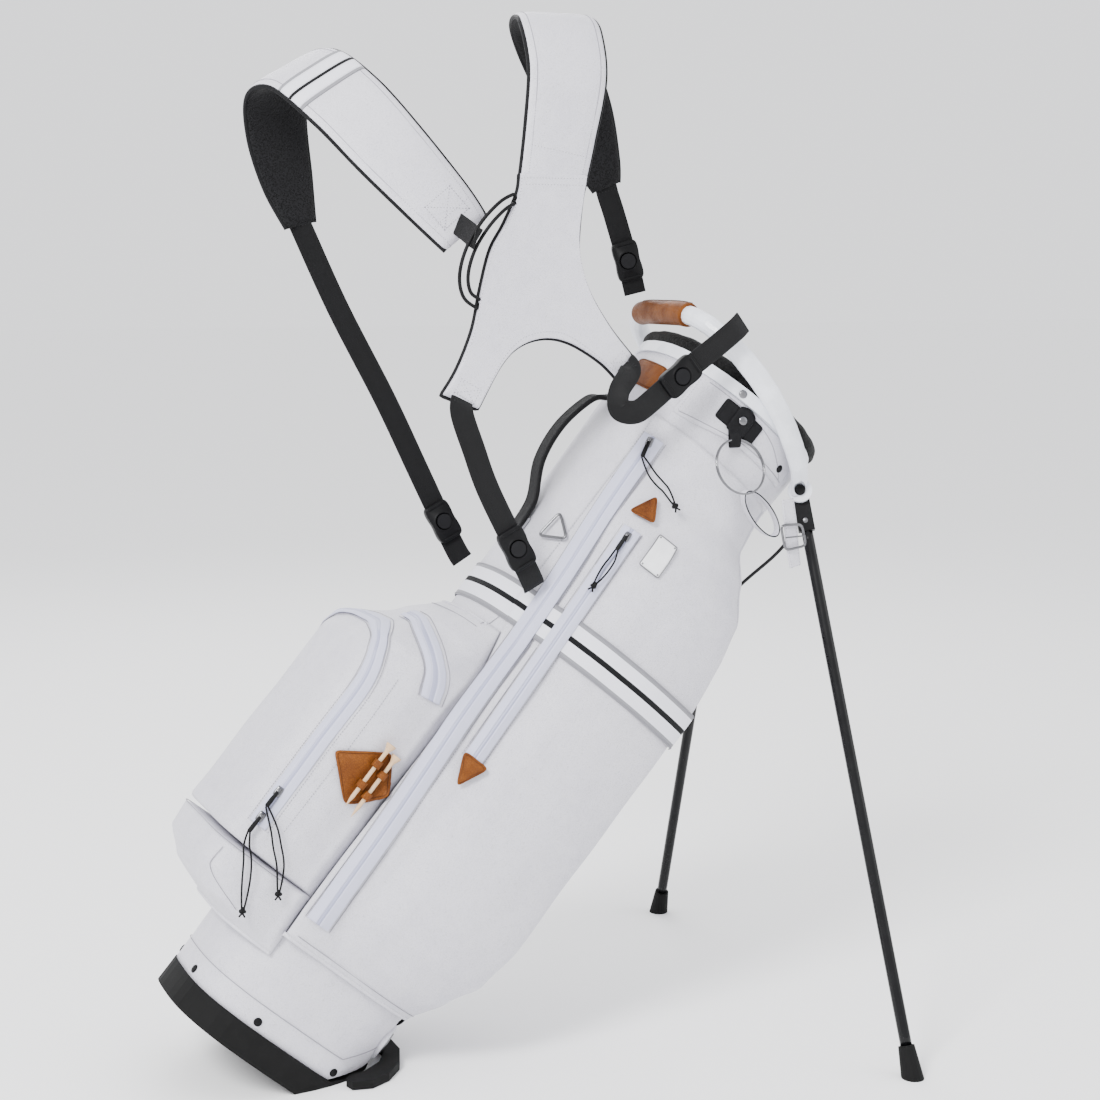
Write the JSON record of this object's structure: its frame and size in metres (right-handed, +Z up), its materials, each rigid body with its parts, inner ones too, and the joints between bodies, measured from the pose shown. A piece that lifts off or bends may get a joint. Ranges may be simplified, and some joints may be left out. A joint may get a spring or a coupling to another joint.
{
  "type": "golf stand bag",
  "caption": "White golf stand bag leaning on two deployed black legs, with side and ball pockets, moulded handle, divided mouth and a double-strap padded harness.",
  "frame": {"origin": "middle of the flat facet under the base cup that rests on the ground", "axes": "+Z up from the ground, the bag leans towards +X over its two legs, the near leg and the near strap are on -Y"},
  "size_m": [0.749, 0.6378, 1.1197],
  "materials": {
    "apparel_pocket_far": "soft-sheen embossed white faux leather",
    "apparel_pocket_near": "soft-sheen embossed white faux leather",
    "apparel_pull_cord": "thin black braided cord",
    "apparel_slider": "black moulded nylon",
    "apparel_zip": "pale lavender zip tape",
    "arc_slider": "black moulded nylon",
    "ball_pocket": "soft-sheen embossed white faux leather",
    "ball_pull_cord_a": "thin black braided cord",
    "ball_pull_cord_b": "thin black braided cord",
    "ball_slider_a": "black moulded nylon",
    "ball_slider_b": "black moulded nylon",
    "ball_zip": "pale lavender zip tape",
    "base_cup": "matt black rubber",
    "body_shell": "soft-sheen embossed white faux leather",
    "buckle_prong": "polished",
    "buckle_strap": "soft-sheen embossed white faux leather",
    "button_lower_far": "black moulded nylon",
    "button_lower_near": "black moulded nylon",
    "button_upper_far": "black moulded nylon",
    "button_upper_near": "black moulded nylon",
    "cuff_loop": "soft-sheen embossed white faux leather",
    "cuff_panel_far": "soft-sheen embossed white faux leather",
    "cuff_panel_near": "soft-sheen embossed white faux leather",
    "divider_panels": "black woven webbing",
    "divider_top": "black fleece-covered foam",
    "foot_lever": "matt black rubber",
    "handle_grip": "waxed tan leather",
    "key_ring": "polished",
    "leg_foot_far": "matt black rubber",
    "leg_foot_near": "matt black rubber",
    "leg_hub_far": "black moulded nylon",
    "leg_hub_near": "black moulded nylon",
    "leg_tube_far": "gloss black enamel on aluminium tube",
    "leg_tube_near": "gloss black enamel on aluminium tube",
    "name_plate": "white lacquered metal plate",
    "pivot_bolt_far": "black moulded nylon",
    "pivot_bolt_near": "black moulded nylon",
    "push_rod": "gloss black enamel on aluminium tube",
    "rim_pad": "black fleece-covered foam",
    "shoulder_strap_far": "soft-sheen embossed white faux leather",
    "shoulder_strap_near": "soft-sheen embossed white faux leather",
    "side_zip": "pale lavender zip tape",
    "slim_pull_cord": "thin black braided cord",
    "slim_slider": "black moulded nylon",
    "slim_zip": "pale lavender zip tape",
    "snap_tab": "black moulded nylon",
    "spine_handle": "black woven webbing",
    "stay_frame": "plain drawn steel",
    "strap_buckle": "polished",
    "stripe_band": "striped woven band",
    "tee_a": "plain turned hardwood",
    "tee_b": "plain turned hardwood",
    "tee_holder": "waxed tan leather",
    "top_frame": "satin white moulded nylon",
    "triangle_ring": "polished",
    "valuables_pocket": "soft-sheen embossed white faux leather",
    "webbing_lower_far": "black woven webbing",
    "webbing_lower_near": "black woven webbing",
    "webbing_upper_far": "black woven webbing",
    "webbing_upper_near": "black woven webbing"
  },
  "bodies": {
    "bag": {"apparel_pocket_far": "apparel_pocket_far", "apparel_pocket_near": "apparel_pocket_near", "apparel_zip": "apparel_zip", "arc_slider": "arc_slider", "ball_pocket": "ball_pocket", "ball_zip": "ball_zip", "base_cup": "base_cup", "body_shell": "body_shell", "buckle_strap": "buckle_strap", "cuff_loop": "cuff_loop", "cuff_panel_far": "cuff_panel_far", "cuff_panel_near": "cuff_panel_near", "divider_panels": "divider_panels", "divider_top": "divider_top", "handle_grip": "handle_grip", "name_plate": "name_plate", "pivot_bolt_far": "pivot_bolt_far", "pivot_bolt_near": "pivot_bolt_near", "rim_pad": "rim_pad", "shoulder_strap_far": "shoulder_strap_far", "shoulder_strap_near": "shoulder_strap_near", "side_zip": "side_zip", "slim_zip": "slim_zip", "snap_tab": "snap_tab", "spine_handle": "spine_handle", "stay_frame": "stay_frame", "strap_buckle": "strap_buckle", "stripe_band": "stripe_band", "tee_holder": "tee_holder", "top_frame": "top_frame", "valuables_pocket": "valuables_pocket", "webbing_lower_far": "webbing_lower_far", "webbing_lower_near": "webbing_lower_near", "webbing_upper_far": "webbing_upper_far", "webbing_upper_near": "webbing_upper_near"},
    "leg_near": {"leg_hub_near": "leg_hub_near", "leg_tube_near": "leg_tube_near", "leg_foot_near": "leg_foot_near"},
    "leg_far": {"leg_hub_far": "leg_hub_far", "leg_tube_far": "leg_tube_far", "leg_foot_far": "leg_foot_far"},
    "rod": {"push_rod": "push_rod"},
    "lever": {"foot_lever": "foot_lever"},
    "button_upper_near": {"button_upper_near": "button_upper_near"},
    "button_lower_near": {"button_lower_near": "button_lower_near"},
    "button_upper_far": {"button_upper_far": "button_upper_far"},
    "button_lower_far": {"button_lower_far": "button_lower_far"},
    "apparel_pull": {"apparel_slider": "apparel_slider", "apparel_pull_cord": "apparel_pull_cord"},
    "slim_pull": {"slim_slider": "slim_slider", "slim_pull_cord": "slim_pull_cord"},
    "ball_pull_a": {"ball_slider_a": "ball_slider_a", "ball_pull_cord_a": "ball_pull_cord_a"},
    "ball_pull_b": {"ball_slider_b": "ball_slider_b", "ball_pull_cord_b": "ball_pull_cord_b"},
    "tee_a": {"tee_a": "tee_a"},
    "tee_b": {"tee_b": "tee_b"},
    "key_ring": {"key_ring": "key_ring"},
    "triangle_ring": {"triangle_ring": "triangle_ring"},
    "prong": {"buckle_prong": "buckle_prong"}
  },
  "joints": [
    {"name": "leg_near_fold", "type": "hinge", "parent": "bag", "child": "leg_near", "pos_m": [0.54521, -0.083, 0.60204], "axis": [0.4411, 0.8464, -0.2985], "range_deg": [0, 44]},
    {"name": "leg_far_fold", "type": "hinge", "parent": "bag", "child": "leg_far", "pos_m": [0.54521, 0.083, 0.60204], "axis": [-0.4411, 0.8464, 0.2985], "range_deg": [0, 44]},
    {"name": "rod_slide", "type": "slide", "parent": "bag", "child": "rod", "axis": [0.6521, 0, 0.7581], "range_m": [0, 0.008]},
    {"name": "lever_hinge", "type": "hinge", "parent": "bag", "child": "lever", "pos_m": [0.066, 0, 0.0068], "axis": [0, -1, 0], "range_deg": [0, 25]},
    {"name": "button_upper_near_press", "type": "slide", "parent": "bag", "child": "button_upper_near", "axis": [-0.0157, 0.9998, -0.0125], "range_m": [0, 0.0022], "stiffness_N_per_m": 600},
    {"name": "button_lower_near_press", "type": "slide", "parent": "bag", "child": "button_lower_near", "axis": [-0.0137, 0.9996, 0.0266], "range_m": [0, 0.0022], "stiffness_N_per_m": 600},
    {"name": "button_upper_far_press", "type": "slide", "parent": "bag", "child": "button_upper_far", "axis": [0.2668, 0.9623, 0.0522], "range_m": [0, 0.0022], "stiffness_N_per_m": 600},
    {"name": "button_lower_far_press", "type": "slide", "parent": "bag", "child": "button_lower_far", "axis": [0.0055, 0.9939, -0.1101], "range_m": [0, 0.0022], "stiffness_N_per_m": 600},
    {"name": "apparel_pull_slide", "type": "slide", "parent": "bag", "child": "apparel_pull", "axis": [-0.4817, -0.1381, -0.8654], "range_m": [0, 0.012]},
    {"name": "slim_pull_slide", "type": "slide", "parent": "bag", "child": "slim_pull", "axis": [-0.6301, -0.0739, -0.773], "range_m": [0, 0.015]},
    {"name": "ball_pull_a_slide", "type": "slide", "parent": "bag", "child": "ball_pull_a", "axis": [0.6521, 0, 0.7581], "range_m": [-0.003, 0.003]},
    {"name": "ball_pull_b_slide", "type": "slide", "parent": "bag", "child": "ball_pull_b", "axis": [0.6521, 0, 0.7581], "range_m": [0, 0.045]},
    {"name": "tee_a_pull", "type": "slide", "parent": "bag", "child": "tee_a", "axis": [0.6519, 0.0022, 0.7583], "range_m": [0, 0.03]},
    {"name": "tee_b_pull", "type": "slide", "parent": "bag", "child": "tee_b", "axis": [0.6519, 0.0022, 0.7583], "range_m": [0, 0.03]},
    {"name": "key_ring_swing", "type": "hinge", "parent": "bag", "child": "key_ring", "pos_m": [0.44724, -0.11225, 0.66652], "axis": [-0.9966, -0.0826, 0], "range_deg": [-3, 40]},
    {"name": "triangle_ring_swing", "type": "hinge", "parent": "bag", "child": "triangle_ring", "pos_m": [0.26464, -0.06831, 0.57677], "axis": [0.0665, 0.6526, 0.7548], "range_deg": [0, 50]},
    {"name": "prong_swing", "type": "hinge", "parent": "bag", "child": "prong", "pos_m": [0.4985, -0.1362, 0.5595], "axis": [0.2095, 0, -0.9778], "range_deg": [0, 80]}
  ],
  "couplings": [
    {"joint": "leg_far_fold", "follows": "leg_near_fold", "ratio": 1},
    {"joint": "rod_slide", "follows": "leg_near_fold", "m_per_rad": 0.010417},
    {"joint": "lever_hinge", "follows": "leg_near_fold", "ratio": 0.56818}
  ]
}
